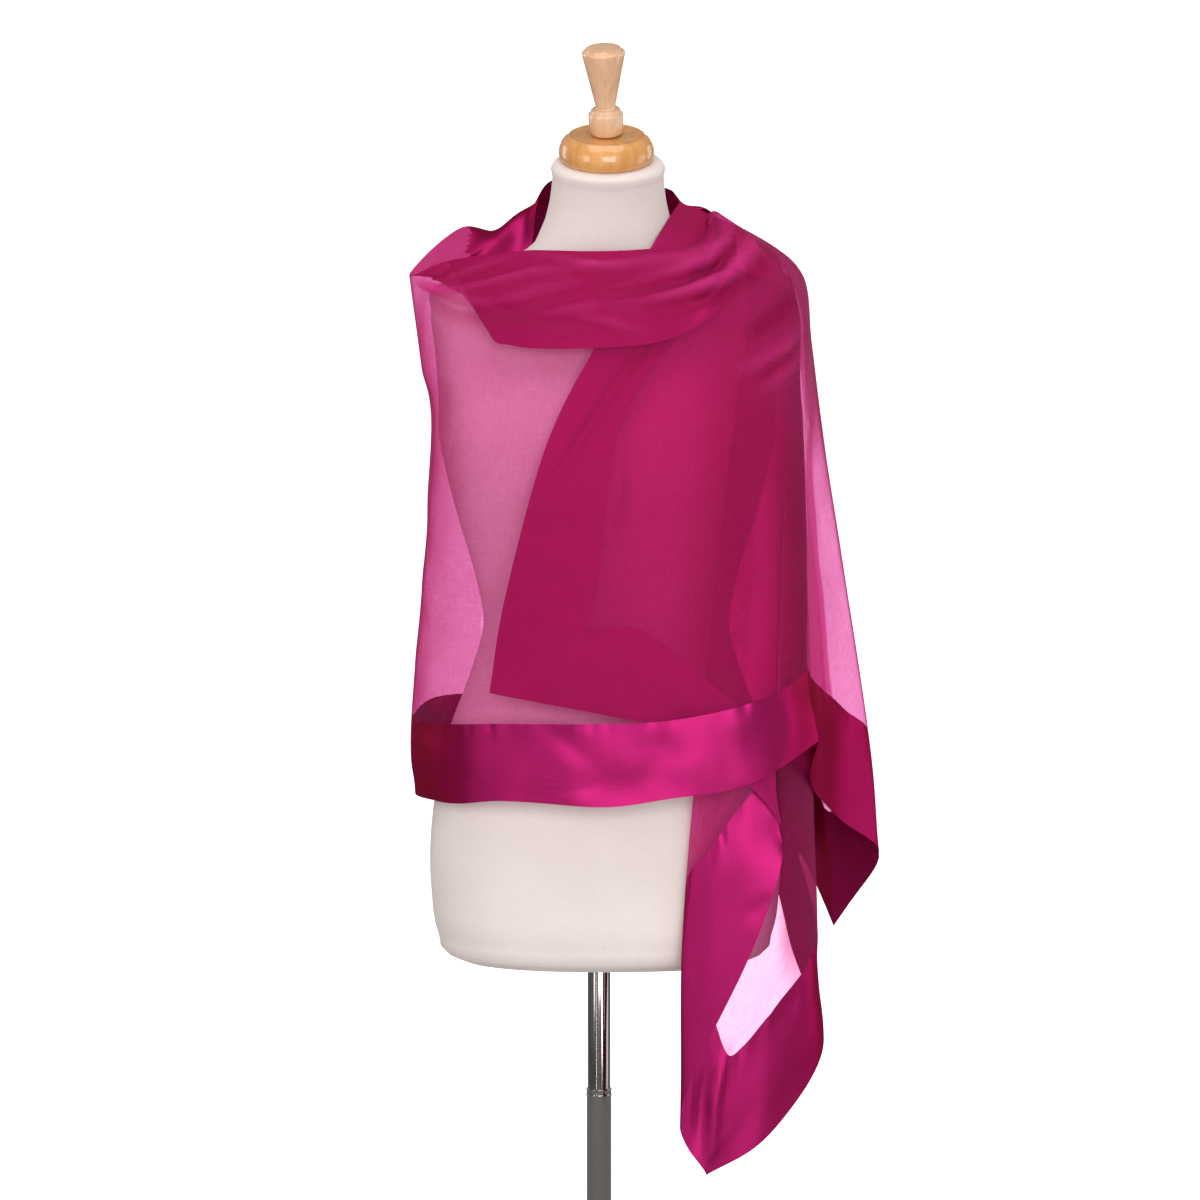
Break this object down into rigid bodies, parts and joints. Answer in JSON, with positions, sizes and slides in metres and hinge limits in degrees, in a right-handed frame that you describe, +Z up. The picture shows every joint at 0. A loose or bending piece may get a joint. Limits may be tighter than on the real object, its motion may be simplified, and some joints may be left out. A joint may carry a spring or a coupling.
{
  "type": "evening stole on a limbless dress form",
  "caption": "Long sheer evening stole with a wide satin border, wound twice round the shoulders of a limbless dress form on a height-adjustable pole with a round base.",
  "frame": {"origin": "centre of the base's underside, on the pole's axis", "axes": "+Z up along the pole, -Y to the front of the form, +X to the image-right side of the front view (the wearer's left)"},
  "size_m": [0.4754, 0.3531, 1.5801],
  "materials": {
    "silk_chiffon": "sheer matte silk chiffon, magenta",
    "silk_satin": "glossy silk satin, magenta",
    "jersey": "matt off-white jersey cover",
    "turned_wood": "clear-varnished turned beech",
    "chrome_tube": "polished steel tube",
    "chrome_base": "polished steel disc"
  },
  "bodies": {
    "stand": {"base": "chrome_base", "pole_lower": "chrome_tube"},
    "figure": {"form_body": "jersey", "neck_cap": "turned_wood", "neck_knob": "turned_wood", "pole_upper": "chrome_tube", "inner_chiffon": "silk_chiffon", "tail_near_chiffon": "silk_chiffon", "tail_far_chiffon": "silk_chiffon", "back_chiffon": "silk_chiffon", "front_chiffon": "silk_chiffon", "rear_chiffon": "silk_chiffon", "inner_lead_band": "silk_satin", "inner_end_band": "silk_satin", "tail_near_band": "silk_satin", "tail_far_end_band": "silk_satin", "tail_far_hem_band": "silk_satin", "back_hem_band": "silk_satin", "back_top_band": "silk_satin", "front_hem_band": "silk_satin", "front_top_band": "silk_satin", "rear_hem_band": "silk_satin", "rear_end_band": "silk_satin", "rear_top_band": "silk_satin"}
  },
  "joints": [
    {"name": "pole_height", "type": "slide", "parent": "stand", "child": "figure", "axis": [0, 0, 1], "range_m": [-0.1, 0.25]}
  ]
}
